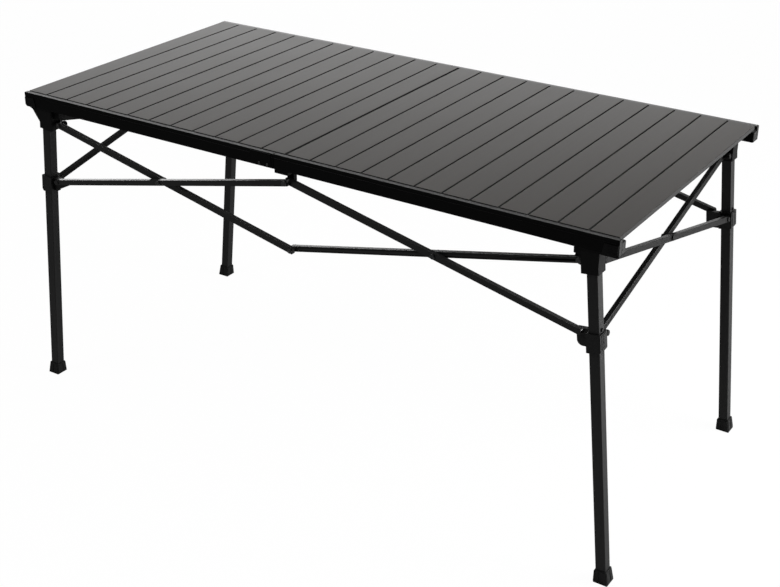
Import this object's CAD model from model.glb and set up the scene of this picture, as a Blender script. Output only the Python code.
"""Looks of the roll top camp table: finishes, small fittings, studio and camera."""

import logging
import math
from dataclasses import dataclass
from enum import Enum
from typing import Any, Optional, Sequence

import bmesh
import bpy
from mathutils import Matrix, Vector


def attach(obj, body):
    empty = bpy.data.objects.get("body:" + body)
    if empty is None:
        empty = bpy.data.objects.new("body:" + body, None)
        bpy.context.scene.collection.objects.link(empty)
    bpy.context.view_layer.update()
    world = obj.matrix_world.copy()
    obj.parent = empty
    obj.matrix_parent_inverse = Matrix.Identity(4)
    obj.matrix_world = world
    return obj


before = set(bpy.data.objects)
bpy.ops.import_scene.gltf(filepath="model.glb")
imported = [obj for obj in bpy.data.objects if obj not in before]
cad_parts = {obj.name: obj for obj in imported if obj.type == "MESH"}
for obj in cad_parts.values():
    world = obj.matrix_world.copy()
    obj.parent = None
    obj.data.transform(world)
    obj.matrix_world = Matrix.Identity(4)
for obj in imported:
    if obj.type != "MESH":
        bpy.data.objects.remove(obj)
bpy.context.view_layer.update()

log = logging.getLogger("camp_table")
MM = 0.001

Outline = Sequence[tuple[float, float]]
Spots = dict[str, list[tuple[Vector, Vector]]]


class Socket:
    """One output of a shader node, with arithmetic that adds Math nodes."""

    def __init__(self, graph: "Graph", socket: Optional[bpy.types.NodeSocket]) -> None:
        """Keeps the socket and the graph that it belongs to.

        Args:
            graph: The graph that new nodes go into.
            socket: The output socket.
        """
        self.graph = graph
        self.socket = socket

    def _math(self, operation: str, first: Any, second: Any) -> "Socket":
        """Adds one Math node.

        Args:
            operation: Blender's name of the operation.
            first: First value or socket.
            second: Second value or socket.

        Returns:
            The node's result.
        """
        return self.graph.node("ShaderNodeMath", {"operation": operation}, {0: first, 1: second})

    def __add__(self, other: Any) -> "Socket":
        """Sum."""
        return self._math("ADD", self, other)

    def __radd__(self, other: Any) -> "Socket":
        """Sum with a number on the left."""
        return self._math("ADD", other, self)

    def __sub__(self, other: Any) -> "Socket":
        """Difference."""
        return self._math("SUBTRACT", self, other)

    def __rsub__(self, other: Any) -> "Socket":
        """Difference with a number on the left."""
        return self._math("SUBTRACT", other, self)

    def __mul__(self, other: Any) -> "Socket":
        """Product."""
        return self._math("MULTIPLY", self, other)

    def __rmul__(self, other: Any) -> "Socket":
        """Product with a number on the left."""
        return self._math("MULTIPLY", other, self)


class Graph:
    """Node tree of one material, or of the world."""

    def __init__(self, owner: bpy.types.ID) -> None:
        """Starts an empty node tree.

        Args:
            owner: The material or world that holds it.
        """
        owner.use_nodes = True
        self.owner = owner
        self.tree = owner.node_tree
        self.tree.nodes.clear()

    def node(self, kind: str, settings: dict[str, Any], inputs: dict[Any, Any],
             output: Any = 0) -> Socket:
        """Adds a node of any type.

        Args:
            kind: Blender's type name of the node.
            settings: Attributes of the node, set first.
            inputs: Values or sockets for the node's inputs, by name or place.
            output: Name or place of the wanted output.

        Returns:
            The wanted output, which is empty for a node that ends the tree.
        """
        made = self.tree.nodes.new(kind)
        for key, value in settings.items():
            setattr(made, key, value)
        for key, value in inputs.items():
            if isinstance(value, Socket):
                self.tree.links.new(value.socket, made.inputs[key])
            else:
                made.inputs[key].default_value = value
        return Socket(self, made.outputs[output] if made.outputs else None)

    def place(self) -> Socket:
        """Place on the surface in metres, in the axes of the table at rest."""
        return self.node("ShaderNodeTexCoord", {}, {}, "Object")

    def stretched(self, scale: tuple[float, float, float]) -> Socket:
        """Place on the surface with each axis scaled."""
        return self.node("ShaderNodeMapping", {}, {"Vector": self.place(), "Scale": scale})

    def noise(self, vector: Socket, scale: float, detail: float) -> Socket:
        """Noise from 0 to 1 with its mean near 0.5.

        Args:
            vector: Place to read it at.
            scale: Patches per metre.
            detail: Number of finer layers.

        Returns:
            The noise value.
        """
        sizes = {"Vector": vector, "Scale": scale, "Detail": detail}
        return self.node("ShaderNodeTexNoise", {}, sizes)

    def axis(self, vector: Socket, name: str) -> Socket:
        """One component of a vector, "X", "Y" or "Z"."""
        return self.node("ShaderNodeSeparateXYZ", {}, {"Vector": vector}, name)

    def above(self, value: Socket, limit: float) -> Socket:
        """1 where a value lies above a limit, else 0."""
        return self.node("ShaderNodeMath", {"operation": "GREATER_THAN"}, {0: value, 1: limit})

    def size_of(self, value: Socket) -> Socket:
        """Absolute value."""
        return self.node("ShaderNodeMath", {"operation": "ABSOLUTE"}, {0: value})

    def facing(self, name: str) -> Socket:
        """One component of the way that the surface faces, in the axes of the table at rest."""
        return self.axis(self.node("ShaderNodeTexCoord", {}, {}, "Normal"), name)

    def blend(self, share: Any, low: Any, high: Any) -> Socket:
        """Colour between two others.

        Args:
            share: 0 for the low colour, 1 for the high one.
            low: First colour or socket.
            high: Second colour or socket.

        Returns:
            The mixed colour.
        """
        return self.node("ShaderNodeMix", {"data_type": "RGBA"}, {0: share, 6: low, 7: high}, 2)

    def bump(self, height: Socket, depth: float, strength: float) -> Socket:
        """Normal of a surface with the given height map.

        Args:
            height: Height from 0 to 1.
            depth: Depth of the full height, in millimetres.
            strength: Weight of the bump.

        Returns:
            The normal.
        """
        sizes = {"Height": height, "Distance": depth * MM, "Strength": strength}
        return self.node("ShaderNodeBump", {}, sizes)

    def surface(self, inputs: dict[str, Any]) -> bpy.types.Material:
        """Ends the graph in one Principled shader.

        Args:
            inputs: Values and sockets of the shader.

        Returns:
            The finished material.
        """
        shader = self.node("ShaderNodeBsdfPrincipled", {}, inputs)
        self.node("ShaderNodeOutputMaterial", {}, {"Surface": shader})
        return self.owner


def grey(level: float, warmth: float = 0.0) -> tuple[float, float, float, float]:
    """Linear grey, a little warmer or cooler.

    Args:
        level: Linear level of green.
        warmth: Share by which red rises and blue falls.

    Returns:
        The colour with full alpha.
    """
    return (level * (1 + warmth), level, level * (1 - warmth), 1.0)


def shades(level: float, spread: float, warmth: float = 0.0) -> list[Sequence[float]]:
    """Darker and lighter shade of a grey.

    Args:
        level: Linear level between them.
        spread: Share by which they differ from it.
        warmth: Share by which red rises and blue falls.

    Returns:
        The two colours.
    """
    return [grey(level * share, warmth) for share in (1 - spread, 1 + spread)]


@dataclass(frozen=True)
class SlatCoat:
    """Matt grey coat of the slats, rolled along their length, with dark sides in the gaps."""

    name: str = "slat_coat"
    level: float = 0.034
    warmth: float = 0.12
    spread: float = 0.14
    roughness: float = 0.34
    gloss: float = 0.5
    side_level: float = 0.004
    side_limit: float = 0.6
    side_roughness: float = 0.5
    last_edge: float = 0.69
    last_level: float = 0.016
    speck_scale: float = 1500.0
    cloud_scale: float = 7.0
    drag_scale: tuple[float, float, float] = (900.0, 6.0, 900.0)
    speck_share: float = 0.2
    cloud_share: float = 0.5
    drag_share: float = 0.3
    drag_roughness: float = 0.08
    cloud_roughness: float = 0.04
    grain_depth: float = 0.03
    grain_strength: float = 0.5
    grain_drag: float = 0.3

    def material(self) -> bpy.types.Material:
        """Builds the finish.

        Returns:
            The material.
        """
        graph = Graph(bpy.data.materials.new(self.name))
        place = graph.place()
        speck = graph.noise(place, self.speck_scale, 1.0)
        cloud = graph.noise(place, self.cloud_scale, 3.0)
        drag = graph.noise(graph.stretched(self.drag_scale), 1.0, 2.0)
        tone = self.cloud_share * cloud + self.drag_share * drag + self.speck_share * speck
        coat = graph.blend(tone, *shades(self.level, self.spread, self.warmth))
        edgewise = graph.size_of(graph.facing("X")) + graph.size_of(graph.facing("Y"))
        side = graph.above(edgewise, self.side_limit)
        last = graph.above(graph.axis(place, "X"), self.last_edge)
        gap = graph.blend(last, grey(self.side_level), grey(self.last_level))
        base = self.roughness - (self.drag_roughness + self.cloud_roughness) / 2
        rough = (base + self.drag_roughness * drag + self.cloud_roughness * cloud
                 + self.side_roughness * side)
        grain = (1 - self.grain_drag) * speck + self.grain_drag * drag
        return graph.surface({"Base Color": graph.blend(side, coat, gap), "Roughness": rough,
                              "Normal": graph.bump(grain, self.grain_depth, self.grain_strength),
                              "Specular IOR Level": self.gloss})


@dataclass(frozen=True)
class TubeCoat:
    """Black satin powder coat of drawn tubes and extruded rails, rubbed brighter on upper faces."""

    name: str
    level: float
    roughness: float
    gloss: float = 0.2
    top_level: float = 0.03
    top_gloss: float = 1.0
    top_roughness: float = 0.32
    top_limit: float = 0.6
    spread: float = 0.2
    peel_scale: float = 420.0
    cloud_scale: float = 11.0
    drag_scale: tuple[float, float, float] = (6.0, 300.0, 300.0)
    drag_share: float = 0.4
    drag_roughness: float = 0.06
    cloud_roughness: float = 0.08
    peel_depth: float = 0.025
    peel_strength: float = 0.5
    peel_drag: float = 0.2

    def material(self) -> bpy.types.Material:
        """Builds the finish.

        Returns:
            The material.
        """
        graph = Graph(bpy.data.materials.new(self.name))
        place = graph.place()
        peel = graph.noise(place, self.peel_scale, 2.0)
        cloud = graph.noise(place, self.cloud_scale, 3.0)
        drag = graph.noise(graph.stretched(self.drag_scale), 1.0, 2.0)
        tone = (1 - self.drag_share) * cloud + self.drag_share * drag
        coat = graph.blend(tone, *shades(self.level, self.spread))
        upper = graph.above(graph.facing("Z"), self.top_limit)
        base = self.roughness - (self.drag_roughness + self.cloud_roughness) / 2
        rough = base + self.cloud_roughness * cloud + self.drag_roughness * drag
        skin = (1 - self.peel_drag) * peel + self.peel_drag * drag
        return graph.surface({"Base Color": graph.blend(upper, coat, grey(self.top_level)),
                              "Roughness": rough,
                              "Normal": graph.bump(skin, self.peel_depth, self.peel_strength),
                              "Specular IOR Level": self.gloss,
                              "Coat Weight": self.top_gloss * upper,
                              "Coat Roughness": self.top_roughness})


@dataclass(frozen=True)
class MouldedPlastic:
    """Black moulded plastic with a fine spark-eroded grain."""

    name: str
    level: float
    roughness: float
    gloss: float = 0.2
    spread: float = 0.25
    grain_scale: float = 1100.0
    grain_depth: float = 0.05
    grain_strength: float = 0.5
    fine_ratio: float = 0.6
    fine_tone: float = 0.3
    fine_roughness: float = 0.06
    fine_grain: float = 0.4
    flow_scale: float = 26.0
    flow_roughness: float = 0.1

    def material(self) -> bpy.types.Material:
        """Builds the finish.

        Returns:
            The material.
        """
        graph = Graph(bpy.data.materials.new(self.name))
        place = graph.place()
        sizes = {"Vector": place, "Scale": self.grain_scale}
        cells = graph.node("ShaderNodeTexVoronoi", {}, sizes, "Distance")
        fine = graph.noise(place, self.grain_scale * self.fine_ratio, 2.0)
        flow = graph.noise(place, self.flow_scale, 3.0)
        tone = (1 - self.fine_tone) * flow + self.fine_tone * fine
        base = self.roughness - (self.flow_roughness + self.fine_roughness) / 2
        rough = base + self.flow_roughness * flow + self.fine_roughness * fine
        grain = (1 - self.fine_grain) * cells + self.fine_grain * fine
        return graph.surface({"Base Color": graph.blend(tone, *shades(self.level, self.spread)),
                              "Roughness": rough,
                              "Normal": graph.bump(grain, self.grain_depth, self.grain_strength),
                              "Specular IOR Level": self.gloss})


@dataclass(frozen=True)
class BrushedSteel:
    """Dark blued steel of rivets, with fine pits."""

    name: str = "rivet_steel"
    level: float = 0.06
    roughness: float = 0.38
    spread: float = 0.3
    pit_scale: float = 900.0
    pit_share: float = 0.5
    pit_depth: float = 0.02
    pit_strength: float = 0.6
    cloud_scale: float = 120.0
    cloud_roughness: float = 0.12
    cloud_metal: float = 0.3

    def material(self) -> bpy.types.Material:
        """Builds the finish.

        Returns:
            The material.
        """
        graph = Graph(bpy.data.materials.new(self.name))
        place = graph.place()
        pits = graph.noise(place, self.pit_scale, 3.0)
        cloud = graph.noise(place, self.cloud_scale, 2.0)
        tone = self.pit_share * pits + (1 - self.pit_share) * cloud
        rough = self.roughness - self.cloud_roughness / 2 + self.cloud_roughness * cloud
        return graph.surface({"Base Color": graph.blend(tone, *shades(self.level, self.spread)),
                              "Roughness": rough,
                              "Metallic": 1 - self.cloud_metal + self.cloud_metal * cloud,
                              "Normal": graph.bump(pits, self.pit_depth, self.pit_strength)})


@dataclass(frozen=True)
class EdgeRound:
    """Small rounding of the sharp edges of a solid."""

    width: float
    segments: int = 2
    limit: float = math.radians(35)
    weld_reach: float = 0.005

    def apply(self, piece: bpy.types.Object) -> None:
        """Adds the rounding to a piece as modifiers.

        Args:
            piece: A mesh object.
        """
        weld = piece.modifiers.new("weld", "WELD")
        weld.merge_threshold = self.weld_reach * MM
        bevel = piece.modifiers.new("edge_round", "BEVEL")
        bevel.limit_method = "ANGLE"
        bevel.angle_limit = self.limit
        bevel.width = self.width * MM
        bevel.segments = self.segments
        bevel.harden_normals = True


class NodeFamily(Enum):
    """Families of solids, by the start of their names."""

    SLAT = "slat_"
    RAIL = "rail_"
    LEG = "leg_"
    FOOT = "foot_"
    TOP_BRACKET = "top_bracket_"
    SLIDE_COLLAR = "slide_collar_"
    LOW_BAR = "low_bar_"
    HIGH_BAR = "high_bar_"
    SIDE_BAR = "side_bar_"
    LOCK_BUTTON = "lock_button_"

    def nodes(self) -> list[bpy.types.Object]:
        """The solids of this family, in the order of their names."""
        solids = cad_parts
        return [solids[name] for name in sorted(solids) if name.startswith(self.value)]


def dress(family: NodeFamily, material: bpy.types.Material, rounding: EdgeRound) -> None:
    """Gives every solid of a family its finish and edge rounding.

    Args:
        family: The family to dress.
        material: The finish.
        rounding: The rounding of its edges.
    """
    for piece in family.nodes():
        piece.data.materials.clear()
        piece.data.materials.append(material)
        rounding.apply(piece)
        log.info("dressed %s with %s", piece.name, material.name)


@dataclass(frozen=True)
class Sizes:
    """Sizes of the frame that the small fittings are placed by, in millimetres."""

    leg_y: float = 321.0
    axis_x: float = 652.492
    axis_z: float = 650.400
    splay: float = math.radians(6.1)
    run: float = 132.752
    lug_reach: float = 32.0
    side_reach: float = 23.5
    side_drop: float = 1.0
    side_fall: float = 6.5
    cross_x: float = 331.629
    cross_z: float = 582.572
    upper_z: float = 656.492
    lower_z: float = 508.652
    layer_pitch: float = 10.5
    half_bar: float = 5.0
    head: float = 1.85
    rail_outer: float = 340.0
    rail_inner: float = 313.0
    rail_left: float = -698.0
    rail_right: float = 702.1
    rail_bottom: float = 683.0
    lip_z: float = 714.0
    lip_width: float = 10.5
    seat_z: float = 705.0
    foot_side: float = 31.0
    foot_top_side: float = 25.0
    foot_height: float = 28.0
    foot_base: float = 7.0

    def foot_half(self, height: float) -> float:
        """Half the side of a foot at a height above the floor end of its leg."""
        share = (height + self.foot_base) / (self.foot_height + self.foot_base)
        return (self.foot_side + (self.foot_top_side - self.foot_side) * share) / 2

    def face(self, layer: float) -> float:
        """Distance from the leg axis to the outside of a rivet head in a layer."""
        return layer * self.layer_pitch + self.half_bar + self.head


SIZES = Sizes()


@dataclass(frozen=True)
class Corner:
    """One corner of the table, with the axes of its leg."""

    along: str
    across: str

    @property
    def name(self) -> str:
        """Name as the bodies use it."""
        return f"{self.across}_{self.along}"

    @property
    def sign_x(self) -> int:
        """1 on the right, -1 on the left."""
        return 1 if self.along == "right" else -1

    @property
    def sign_y(self) -> int:
        """1 at the back, -1 at the front."""
        return 1 if self.across == "back" else -1

    @property
    def low_layer(self) -> float:
        """Layer of the bar from the slide collar."""
        return 1.0 if self.along == "left" else 0.0

    @property
    def high_layer(self) -> float:
        """Layer of the bar from the top bracket."""
        return self.low_layer - 1.0

    def axes(self) -> tuple[Vector, Vector, Vector]:
        """Axes of the leg.

        Returns:
            Directions out along the length, out across the width, and up the leg.
        """
        lean = SIZES.splay
        out = Vector((self.sign_x * math.cos(lean), 0.0, math.sin(lean)))
        up = Vector((-self.sign_x * math.sin(lean), 0.0, math.cos(lean)))
        return out, Vector((0.0, self.sign_y, 0.0)), up

    def spot(self, out: float, side: float, up: float) -> Vector:
        """Point in the axes of the leg, from its axis at the top pivot.

        Args:
            out: Distance outwards along the length.
            side: Distance outwards across the width.
            up: Distance up the leg.

        Returns:
            The point in the axes of the table, in millimetres.
        """
        axes = self.axes()
        base = Vector((self.sign_x * SIZES.axis_x, self.sign_y * SIZES.leg_y, SIZES.axis_z))
        return base + axes[0] * out + axes[1] * side + axes[2] * up

    def flank(self, x: float, side: float, z: float) -> Vector:
        """Point at a mirrored X, a distance outside the leg axis, and a height."""
        return Vector((self.sign_x * x, self.sign_y * (SIZES.leg_y + side), z))


CORNERS = [Corner(along, across) for along in ("left", "right") for across in ("front", "back")]


class Builder:
    """Collects mesh parts of one piece and places them."""

    def __init__(self, name: str) -> None:
        """Starts an empty piece.

        Args:
            name: Name of the piece.
        """
        self.name = name
        self.mesh = bmesh.new()

    def lathe(self, centre: Vector, axis: Vector, outline: Outline, sides: int = 32) -> None:
        """Adds a turned form.

        Args:
            centre: Foot of the form's axis, in millimetres.
            axis: Direction of the axis.
            outline: Radius and height pairs from the rim to the middle, the last at radius 0.
            sides: Number of sides.
        """
        turn = axis.to_track_quat("Z", "Y")
        rings = []
        for radius, height in outline[:-1]:
            ring = []
            for step in range(sides):
                angle = 2 * math.pi * step / sides
                local = Vector((radius * math.cos(angle), radius * math.sin(angle), height))
                ring.append(self.mesh.verts.new((centre + turn @ local) * MM))
            rings.append(ring)
        top = self.mesh.verts.new((centre + turn @ Vector((0.0, 0.0, outline[-1][1]))) * MM)
        for low, high in zip(rings, rings[1:]):
            for step in range(sides):
                after = (step + 1) % sides
                self.mesh.faces.new((low[step], low[after], high[after], high[step]))
        for step in range(sides):
            self.mesh.faces.new((rings[-1][step], rings[-1][(step + 1) % sides], top))
        self.mesh.faces.new(list(reversed(rings[0])))

    def prism(self, outline: Sequence[Vector], depth: Vector) -> None:
        """Adds a straight form.

        Args:
            outline: Corners of one end, in millimetres.
            depth: Way from that end to the other.
        """
        near = [self.mesh.verts.new(point * MM) for point in outline]
        far = [self.mesh.verts.new((point + depth) * MM) for point in outline]
        count = len(outline)
        self.mesh.faces.new(near)
        self.mesh.faces.new(list(reversed(far)))
        for step in range(count):
            after = (step + 1) % count
            self.mesh.faces.new((near[after], near[step], far[step], far[after]))

    def finish(self, material: bpy.types.Material, body: str, rounding: float) -> None:
        """Makes the object and joins it to a body.

        Args:
            material: Its finish.
            body: Name of the body that it rides on.
            rounding: Width of its edge rounding, in millimetres; 0 for none.
        """
        bmesh.ops.recalc_face_normals(self.mesh, faces=self.mesh.faces)
        data = bpy.data.meshes.new(self.name)
        self.mesh.to_mesh(data)
        self.mesh.free()
        data.materials.append(material)
        piece = bpy.data.objects.new(self.name, data)
        bpy.context.scene.collection.objects.link(piece)
        if rounding:
            EdgeRound(rounding).apply(piece)
        else:
            for face in data.polygons:
                face.use_smooth = True
        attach(piece, body)
        log.info("built %s on %s", self.name, body)


@dataclass
class SlatTop:
    """The slats that make the top."""

    coat: SlatCoat = SlatCoat()
    rounding: EdgeRound = EdgeRound(0.5)

    def build(self) -> None:
        """Dresses the slats."""
        dress(NodeFamily.SLAT, self.coat.material(), self.rounding)


@dataclass
class Rails:
    """The two long rails, their joints, and the moulded fittings at their ends."""

    coat: TubeCoat = TubeCoat("rail_coat", 0.002, 0.40, 0.06, top_limit=0.9)
    plastic: MouldedPlastic = MouldedPlastic("end_plastic", 0.018, 0.46)
    cheek_plastic: MouldedPlastic = MouldedPlastic("cheek_plastic", 0.003, 0.5, 0.12)
    rounding: EdgeRound = EdgeRound(0.7)
    cheek_length: float = 30.0
    cheek_height: float = 20.0
    cheek_thick: float = 1.6
    cheek_nose: float = 4.0
    cheek_round: float = 0.3
    rib_count: int = 3
    rib_start: float = 1.0
    rib_stop: float = 8.0
    rib_slope: float = 1.0
    rib_thick: float = 1.4
    rib_proud: float = 0.8
    plug_thick: float = 1.4
    plug_inset: float = 0.8
    plug_gap: float = 0.4
    plug_round: float = 0.4
    screw_in: float = 11.0
    screw_up: float = 8.0
    screw_sides: int = 20
    screw_outline: Outline = ((2.6, -0.3), (2.6, 0.3), (2.0, 0.6), (1.0, 0.6), (0.9, 0.2),
                              (0.0, 0.2))

    def build(self) -> None:
        """Dresses the rails and adds the fittings."""
        dress(NodeFamily.RAIL, self.coat.material(), self.rounding)
        plastic = self.plastic.material()
        cheek_plastic = self.cheek_plastic.material()
        for corner in CORNERS:
            self.cheek(corner, cheek_plastic)
            self.plug(corner, plastic)

    @staticmethod
    def end(corner: Corner) -> float:
        """X of a rail's outer end."""
        return SIZES.rail_right if corner.along == "right" else SIZES.rail_left

    def cheek(self, corner: Corner, plastic: bpy.types.Material) -> None:
        """Plate with ribs on the outer face of a rail, at its end.

        Args:
            corner: The corner of the table.
            plastic: Finish of the plate.
        """
        build = Builder(f"rail_cheek_{corner.name}")
        near = corner.sign_y * SIZES.rail_outer
        low, high = SIZES.rail_bottom, SIZES.rail_bottom + self.cheek_height
        nose, length = self.cheek_nose, self.cheek_length
        plate = [(0.0, low + nose), (nose, low), (length, low), (length - nose, high), (0.0, high)]
        forms = [(plate, near, self.cheek_thick)]
        for number in range(self.rib_count):
            foot = low + nose + number * (self.cheek_height - nose) / self.rib_count
            start, stop, top = self.rib_start, length - self.rib_stop, foot + self.rib_thick
            rib = [(start, foot), (stop, foot), (stop - self.rib_slope, top), (start, top)]
            forms.append((rib, near + corner.sign_y * self.cheek_thick, self.rib_proud))
        for outline, y, thick in forms:
            build.prism([Vector((self.end(corner) - corner.sign_x * x, y, z)) for x, z in outline],
                        Vector((0.0, corner.sign_y * thick, 0.0)))
        build.finish(plastic, "deck", self.cheek_round)

    def plug(self, corner: Corner, plastic: bpy.types.Material) -> None:
        """Cap on the end of a rail, with a seam and a screw.

        Args:
            corner: The corner of the table.
            plastic: Finish of the cap.
        """
        build = Builder(f"rail_plug_{corner.name}")
        end, inset, seam = self.end(corner), self.plug_inset, SIZES.rail_outer - SIZES.lip_width
        low = SIZES.rail_bottom + inset
        depth = Vector((corner.sign_x * self.plug_thick, 0.0, 0.0))
        inner = (SIZES.rail_inner + inset, seam - self.plug_gap, SIZES.seat_z)
        outer = (seam + self.plug_gap, SIZES.rail_outer - inset, SIZES.lip_z - inset)
        for near, far, top in (inner, outer):
            outline = [(near, low), (far, low), (far, top), (near, top)]
            build.prism([Vector((end, corner.sign_y * y, z)) for y, z in outline], depth)
        screw_y = corner.sign_y * (SIZES.rail_inner + self.screw_in)
        screw = Vector((end, screw_y, low + self.screw_up)) + depth
        build.lathe(screw, depth, self.screw_outline, self.screw_sides)
        build.finish(plastic, "deck", self.plug_round)


@dataclass
class Frame:
    """Legs, bars, brackets, collars and feet."""

    tube: TubeCoat = TubeCoat("tube_coat", 0.013, 0.42, drag_scale=(300.0, 300.0, 6.0))
    bar: TubeCoat = TubeCoat("bar_coat", 0.012, 0.34, 0.22, top_roughness=0.25)
    side: TubeCoat = TubeCoat("side_bar_coat", 0.006, 0.40, 0.11, top_level=0.01, top_gloss=0.4)
    bracket: MouldedPlastic = MouldedPlastic("bracket_plastic", 0.004, 0.55, 0.1)
    plastic: MouldedPlastic = MouldedPlastic("collar_plastic", 0.008, 0.46)
    rubber: MouldedPlastic = MouldedPlastic("foot_plastic", 0.008, 0.58)
    tube_round: EdgeRound = EdgeRound(2.0, 3)
    bar_round: EdgeRound = EdgeRound(1.8, 3)
    plastic_round: EdgeRound = EdgeRound(0.9)
    web_root: float = 14.0
    web_length: float = 24.0
    web_depth: float = 23.0
    web_tip: float = 17.0
    web_gap: float = 0.5
    web_outer: float = 6.0
    web_width: float = 18.0
    web_round: float = 0.4
    pad_face: float = 14.1
    pad_sunk: float = 0.3
    pad_proud: float = 0.9
    pad_low: float = 27.0
    pad_high: float = 2.0
    pad_cut: float = 1.5
    pad_round: float = 0.35
    pad_ridges: Outline = ((-8.0, 9.0), (3.0, 5.0))
    panel_low: float = 3.0
    panel_top: float = 2.0
    panel_sunk: float = 0.3
    panel_proud: float = 0.9
    panel_round: float = 0.3
    panel_shares: Outline = ((-0.88, -0.22), (0.12, 0.88))

    def build(self) -> None:
        """Dresses the frame."""
        bar = self.bar.material()
        plastic = self.plastic.material()
        dress(NodeFamily.LEG, self.tube.material(), self.tube_round)
        bracket = self.bracket.material()
        for family in (NodeFamily.LOW_BAR, NodeFamily.HIGH_BAR):
            dress(family, bar, self.bar_round)
        dress(NodeFamily.SIDE_BAR, self.side.material(), self.bar_round)
        dress(NodeFamily.TOP_BRACKET, bracket, self.plastic_round)
        for family in (NodeFamily.SLIDE_COLLAR, NodeFamily.LOCK_BUTTON):
            dress(family, plastic, self.plastic_round)
        rubber = self.rubber.material()
        dress(NodeFamily.FOOT, rubber, self.plastic_round)
        for corner in CORNERS:
            self.collar_pad(corner, plastic)
            self.foot_panels(corner, rubber)
            self.bracket_web(corner, bracket)

    def bracket_web(self, corner: Corner, bracket: bpy.types.Material) -> None:
        """Web on the inner side of a top bracket, between its sleeve and the rail above.

        Args:
            corner: The corner of the table.
            bracket: Finish of the bracket.
        """
        build = Builder(f"bracket_web_{corner.name}")
        root, top = SIZES.axis_x - self.web_root, SIZES.rail_bottom - self.web_gap
        tip = root - self.web_length
        outline = [(root, top), (tip, top), (tip, top - self.web_tip), (root, top - self.web_depth)]
        build.prism([corner.flank(x, self.web_outer, z) for x, z in outline],
                    Vector((0.0, -corner.sign_y * self.web_width, 0.0)))
        build.finish(bracket, f"leg_{corner.name}", self.web_round)

    def collar_pad(self, corner: Corner, plastic: bpy.types.Material) -> None:
        """Two raised pads on the outer side of a slide collar.

        Args:
            corner: The corner of the table.
            plastic: Finish of the collar.
        """
        build = Builder(f"collar_pad_{corner.name}")
        out, across, up = corner.axes()
        low, cut = -SIZES.run - self.pad_low, self.pad_cut
        tall = up * (self.pad_low + self.pad_high)
        for side, width in self.pad_ridges:
            start = corner.spot(self.pad_face - self.pad_sunk, side, low)
            wide = across * width
            outline = [start + across * cut, start + wide - across * cut, start + wide + up * cut,
                       start + wide + tall, start + tall, start + up * cut]
            build.prism(outline, out * (self.pad_proud + self.pad_sunk))
        build.finish(plastic, f"slide_collar_{corner.name}", self.pad_round)

    def foot_panels(self, corner: Corner, rubber: bpy.types.Material) -> None:
        """Raised panels on the four sides of a foot, two to a side with a groove between them.

        Args:
            corner: The corner of the table.
            rubber: Finish of the foot.
        """
        build = Builder(f"foot_panels_{corner.name}")
        out, across, _ = corner.axes()
        sole = -SIZES.axis_z / math.cos(SIZES.splay)
        heights = (self.panel_low, SIZES.foot_height - self.panel_top)
        for facing, along in ((out, across), (-out, across), (across, out), (-across, out)):
            for near, far in self.panel_shares:
                outline = []
                for height, shares in zip(heights, ((near, far), (far, near))):
                    half = SIZES.foot_half(height)
                    middle = corner.spot(0.0, 0.0, sole + height)
                    middle += facing * (half - self.panel_sunk)
                    outline += [middle + along * (half * share) for share in shares]
                build.prism(outline, facing * (self.panel_sunk + self.panel_proud))
        build.finish(rubber, f"leg_{corner.name}", self.panel_round)


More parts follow.
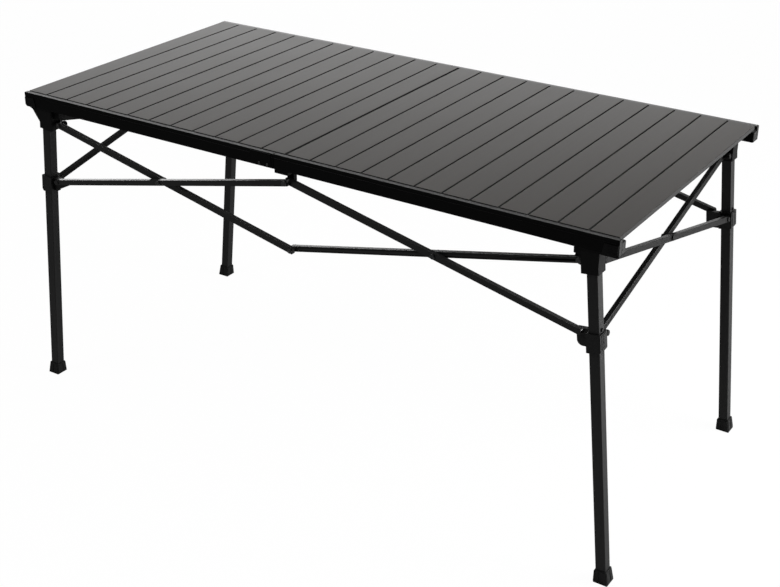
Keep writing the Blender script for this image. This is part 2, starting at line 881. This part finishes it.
@dataclass
class RivetCaps:
    """Domed caps on the rivets."""

    steel: BrushedSteel = BrushedSteel()
    dull: BrushedSteel = BrushedSteel("dull_rivet_steel", 0.012, 0.62)
    outline: Outline = ((5.5, -0.9), (5.5, 0.1), (5.1, 0.55), (4.2, 0.95), (3.0, 1.2), (1.9, 1.3),
                        (1.5, 1.1), (1.1, 0.85), (0.0, 0.8))
    splice_x: tuple[float, float] = (-36.0, -56.0)
    splice_y: float = 342.1
    splice_z: float = 689.4
    splice_sides: int = 20
    splice_outline: Outline = ((2.7, -0.6), (2.7, 0.1), (2.2, 0.7), (1.2, 1.1), (0.0, 1.2))
    side_layer: float = 0.5

    def build(self) -> None:
        """Makes one piece per body that holds rivets."""
        steel = self.steel.material()
        front = Vector((0.0, -1.0, 0.0))
        upper = Vector((0.0, -SIZES.leg_y - SIZES.face(1.0), SIZES.upper_z))
        long_spots: Spots = {"deck": [(upper, front)]}
        short_spots: Spots = {}
        for corner in CORNERS:
            self.long_side(corner, long_spots)
            self.short_side(corner, short_spots)
        self.caps("rivet_caps", long_spots, steel)
        self.caps("side_rivet_caps", short_spots, self.dull.material())
        self.splice_rivets(steel)

    def caps(self, name: str, spots: Spots, steel: bpy.types.Material) -> None:
        """Makes one piece of caps per body.

        Args:
            name: Start of the pieces' names.
            spots: Centre and axis of each cap, by body.
            steel: Finish of the caps.
        """
        for body, places in spots.items():
            build = Builder(f"{name}_{body}")
            for centre, axis in places:
                build.lathe(centre, axis, self.outline)
            build.finish(steel, body, 0.0)

    def splice_rivets(self, steel: bpy.types.Material) -> None:
        """Small domes on the splice plates beside the rail splits.

        Args:
            steel: Finish of the domes.
        """
        build = Builder("splice_rivets")
        for sign in (-1, 1):
            for x in self.splice_x:
                foot = Vector((x, sign * self.splice_y, self.splice_z))
                build.lathe(foot, Vector((0.0, sign, 0.0)), self.splice_outline, self.splice_sides)
        build.finish(steel, "deck", 0.0)

    @staticmethod
    def long_side(corner: Corner, spots: Spots) -> None:
        """Adds the rivets of a corner's long-side bars.

        Args:
            corner: The corner of the table.
            spots: Centre and axis of each cap by body, which is added to.
        """
        axis = Vector((0.0, corner.sign_y, 0.0))
        low, high = SIZES.face(corner.low_layer), SIZES.face(corner.high_layer)
        places = [(corner.flank(SIZES.cross_x, low, SIZES.cross_z), axis)]
        if corner.name == "back_left":
            places.append((corner.flank(0.0, low, SIZES.upper_z), axis))
        spots[f"low_bar_{corner.name}"] = places
        if corner.along == "left":
            spots[f"high_bar_{corner.name}"] = [(corner.flank(0.0, high, SIZES.lower_z), axis)]
        spots[f"leg_{corner.name}"] = [(corner.spot(-SIZES.lug_reach, high, 0.0), axis)]

    def short_side(self, corner: Corner, spots: Spots) -> None:
        """Adds the rivets of a corner's short-side bars.

        Args:
            corner: The corner of the table.
            spots: Centre and axis of each cap by body, which is added to.
        """
        out = corner.axes()[0]
        face = SIZES.face(self.side_layer)
        high, low = -SIZES.side_drop, -SIZES.run - SIZES.side_fall
        spots[f"leg_{corner.name}"] = [(corner.spot(face, -SIZES.side_reach, high), out)]
        spots[f"slide_collar_{corner.name}"] = [(corner.spot(face, -SIZES.side_reach, low), out)]
        if corner.across == "front":
            crossing = corner.spot(face, -SIZES.leg_y, (low + high) / 2)
            spots[f"side_bar_outer_{corner.along}"] = [(crossing, out)]


@dataclass(frozen=True)
class SoftBox:
    """Rectangular lamp, with its place, aim and size in metres and its power in watts."""

    name: str
    place: tuple[float, float, float]
    aim: tuple[float, float, float]
    size: tuple[float, float]
    power: float

    def build(self) -> None:
        """Hangs the lamp."""
        data = bpy.data.lights.new(self.name, "AREA")
        data.shape = "RECTANGLE"
        data.size, data.size_y = self.size
        data.energy = self.power
        lamp = bpy.data.objects.new(self.name, data)
        lamp.location = self.place
        way = Vector(self.aim) - Vector(self.place)
        lamp.rotation_euler = way.to_track_quat("-Z", "Y").to_euler()
        bpy.context.scene.collection.objects.link(lamp)


@dataclass
class Studio:
    """Floor, lamps, world and camera."""

    eye: tuple[float, float, float] = (1.4953, -2.2664, 1.6520)
    aim: tuple[float, float, float] = (0.0274, 0.0, 0.2831)
    roll: float = 0.248
    lens: float = 62.41
    floor_level: float = 0.45
    floor_share: float = 0.95
    floor_glow: float = 1.03
    floor_size: float = 40.0
    world_level: float = 0.12
    sensor: float = 36.0
    lamps: tuple[SoftBox, ...] = (
        SoftBox("back_box", (-2.6, 3.6, 1.35), (-0.3, 0.0, 0.7), (5.0, 1.3), 41.0),
        SoftBox("right_box", (2.6, 0.9, 1.1), (0.6, 0.1, 0.4), (1.6, 1.6), 115.0),
        SoftBox("front_box", (-1.3, -1.7, 2.5), (0.0, -0.3, 0.5), (1.2, 0.8), 28.0),
        SoftBox("over_box", (0.0, 0.3, 3.4), (0.0, 0.0, 0.7), (2.4, 1.6), 16.0))

    def build(self) -> None:
        """Builds the whole studio."""
        self.make_floor()
        self.make_world()
        for lamp in self.lamps:
            lamp.build()
        self.make_camera()

    def make_floor(self) -> None:
        """Pale floor that shows white to the camera and keeps a soft shadow."""
        mesh = bpy.data.meshes.new("floor")
        half = self.floor_size / 2
        corners = [(-half, -half, 0), (half, -half, 0), (half, half, 0), (-half, half, 0)]
        mesh.from_pydata(corners, [], [(0, 1, 2, 3)])
        floor = bpy.data.objects.new("floor", mesh)
        bpy.context.scene.collection.objects.link(floor)
        material = bpy.data.materials.new("floor_paper")
        graph = Graph(material)
        seen = graph.node("ShaderNodeLightPath", {}, {}, "Is Camera Ray")
        paper = graph.node("ShaderNodeBsdfDiffuse", {}, {"Color": grey(self.floor_level)})
        light = {"Color": grey(1.0), "Strength": self.floor_glow}
        glow = graph.node("ShaderNodeEmission", {}, light)
        parts = {0: self.floor_share * seen, 1: paper, 2: glow}
        mix = graph.node("ShaderNodeMixShader", {}, parts)
        graph.node("ShaderNodeOutputMaterial", {}, {"Surface": mix})
        mesh.materials.append(material)

    def make_world(self) -> None:
        """White surround for what the camera sees, and an even fill."""
        world = bpy.data.worlds.new("surround")
        bpy.context.scene.world = world
        graph = Graph(world)
        seen = graph.node("ShaderNodeLightPath", {}, {}, "Is Camera Ray")
        white, fill = [
            graph.node("ShaderNodeBackground", {}, {"Color": grey(1.0), "Strength": strength})
            for strength in (1.0, self.world_level)]
        mix = graph.node("ShaderNodeMixShader", {}, {0: seen, 1: fill, 2: white})
        graph.node("ShaderNodeOutputWorld", {}, {"Surface": mix})

    def make_camera(self) -> None:
        """Camera at the photograph's angle."""
        data = bpy.data.cameras.new("camera")
        data.sensor_width = self.sensor
        data.lens = self.lens
        camera = bpy.data.objects.new("camera", data)
        way = Vector(self.aim) - Vector(self.eye)
        turn = way.to_track_quat("-Z", "Y").to_matrix().to_4x4()
        roll = Matrix.Rotation(math.radians(self.roll), 4, "Z")
        camera.matrix_world = Matrix.Translation(self.eye) @ turn @ roll
        bpy.context.scene.collection.objects.link(camera)
        bpy.context.scene.camera = camera


def main() -> None:
    """Builds the dressed table and its studio."""
    logging.basicConfig(level=logging.INFO, format="%(message)s")
    bpy.context.scene.view_settings.view_transform = "Standard"
    for assembly in (SlatTop(), Rails(), Frame(), RivetCaps(), Studio()):
        assembly.build()
        log.info("built %s", type(assembly).__name__)


if __name__ == "__main__":
    main()
